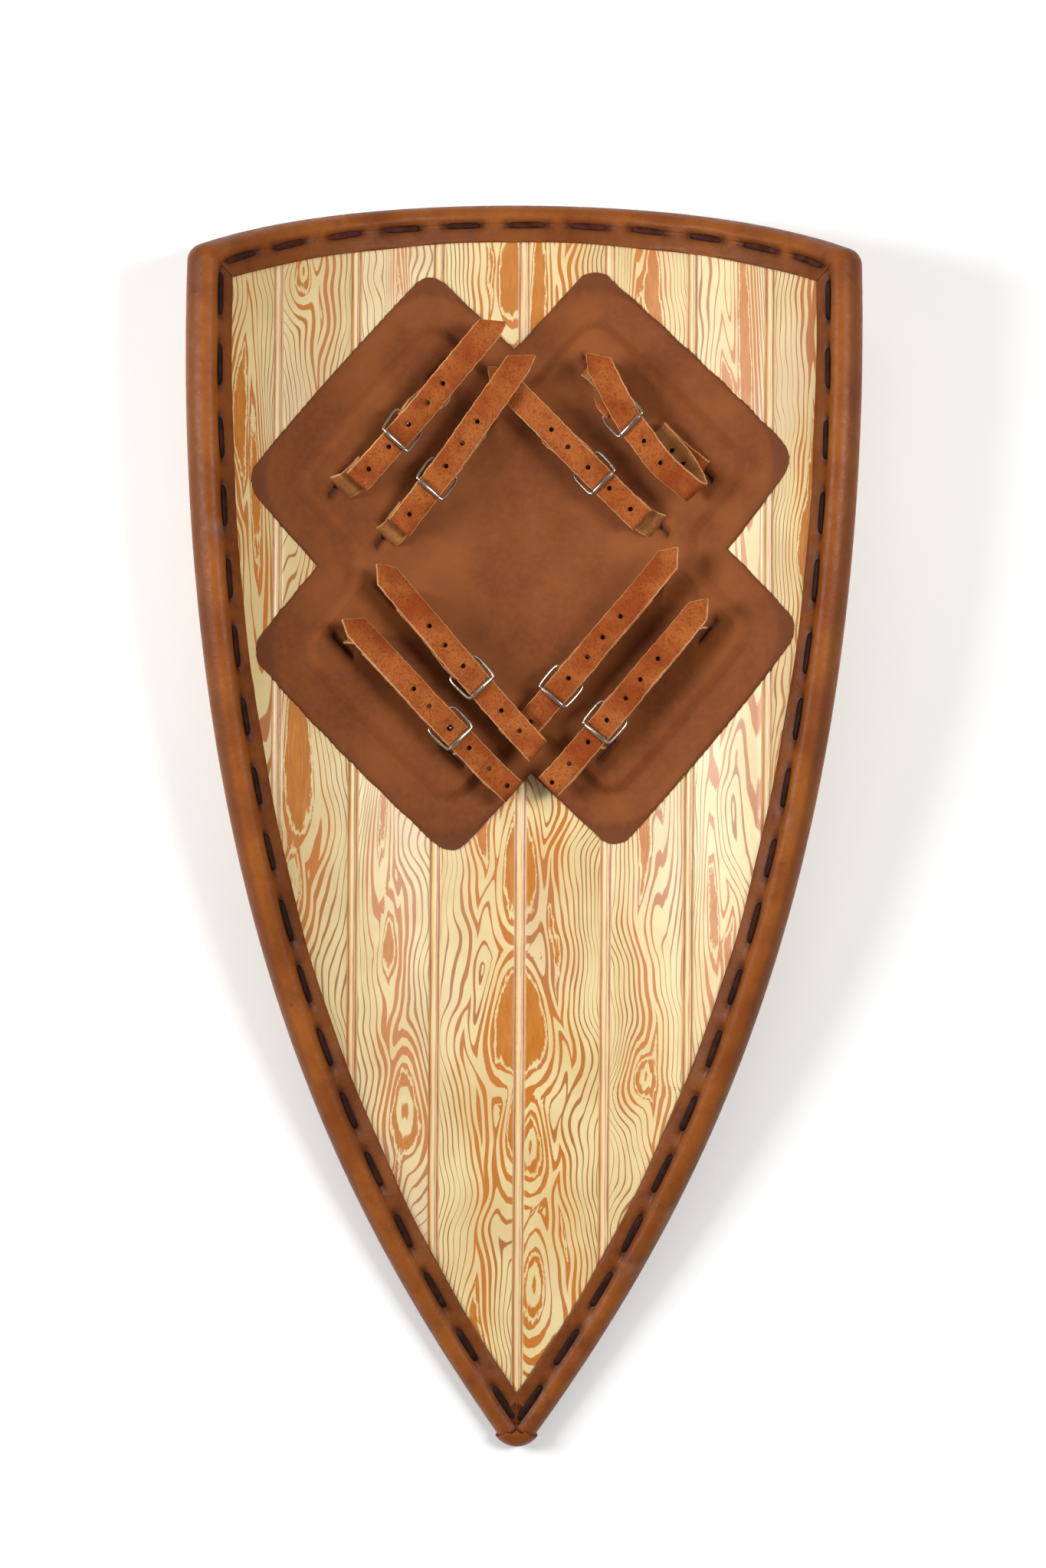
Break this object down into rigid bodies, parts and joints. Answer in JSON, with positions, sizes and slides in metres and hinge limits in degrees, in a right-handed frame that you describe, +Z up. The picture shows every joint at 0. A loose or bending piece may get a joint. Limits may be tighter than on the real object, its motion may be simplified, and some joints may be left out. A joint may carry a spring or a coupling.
{
  "type": "heater shield",
  "caption": "Curved foam heater shield lying on its plank-printed front, with a laced leather rim, a padded leather cross and buckled arm straps on its hollow back.",
  "frame": {"origin": "on the ground, under the middle of the box that just holds the shield", "axes": "+Y towards the top edge, +X towards the right of the back as seen from above, +Z up out of the hollow back"},
  "size_m": [0.5812, 1.1196, 0.1556],
  "materials": {
    "printed_foam": "printed wood grain under clear latex",
    "rim_leather": "mottled, waxed",
    "pad_leather": "rough out",
    "strap_leather": "rough out, light tan inside",
    "steel": "bright nickel plate"
  },
  "bodies": {
    "root": {"foam_board": "printed_foam", "rim_leather": "rim_leather", "arm_pad": "pad_leather", "upper_left_outer_billet": "strap_leather", "upper_left_outer_chape": "strap_leather", "upper_left_outer_buckle_frame": "steel", "upper_left_outer_buckle_roller": "steel", "upper_left_outer_buckle_prong": "steel", "upper_left_inner_billet": "strap_leather", "upper_left_inner_chape": "strap_leather", "upper_left_inner_buckle_frame": "steel", "upper_left_inner_buckle_roller": "steel", "upper_left_inner_buckle_prong": "steel", "upper_right_inner_billet": "strap_leather", "upper_right_inner_chape": "strap_leather", "upper_right_inner_buckle_frame": "steel", "upper_right_inner_buckle_roller": "steel", "upper_right_inner_buckle_prong": "steel", "upper_right_outer_billet": "strap_leather", "upper_right_outer_chape": "strap_leather", "upper_right_outer_buckle_frame": "steel", "upper_right_outer_buckle_roller": "steel", "upper_right_outer_buckle_prong": "steel", "lower_left_outer_billet": "strap_leather", "lower_left_outer_chape": "strap_leather", "lower_left_outer_buckle_frame": "steel", "lower_left_outer_buckle_roller": "steel", "lower_left_outer_buckle_prong": "steel", "lower_left_inner_billet": "strap_leather", "lower_left_inner_chape": "strap_leather", "lower_left_inner_buckle_frame": "steel", "lower_left_inner_buckle_roller": "steel", "lower_left_inner_buckle_prong": "steel", "lower_right_inner_billet": "strap_leather", "lower_right_inner_chape": "strap_leather", "lower_right_inner_buckle_frame": "steel", "lower_right_inner_buckle_roller": "steel", "lower_right_inner_buckle_prong": "steel", "lower_right_outer_billet": "strap_leather", "lower_right_outer_chape": "strap_leather", "lower_right_outer_buckle_frame": "steel", "lower_right_outer_buckle_roller": "steel", "lower_right_outer_buckle_prong": "steel"}
  },
  "joints": []
}
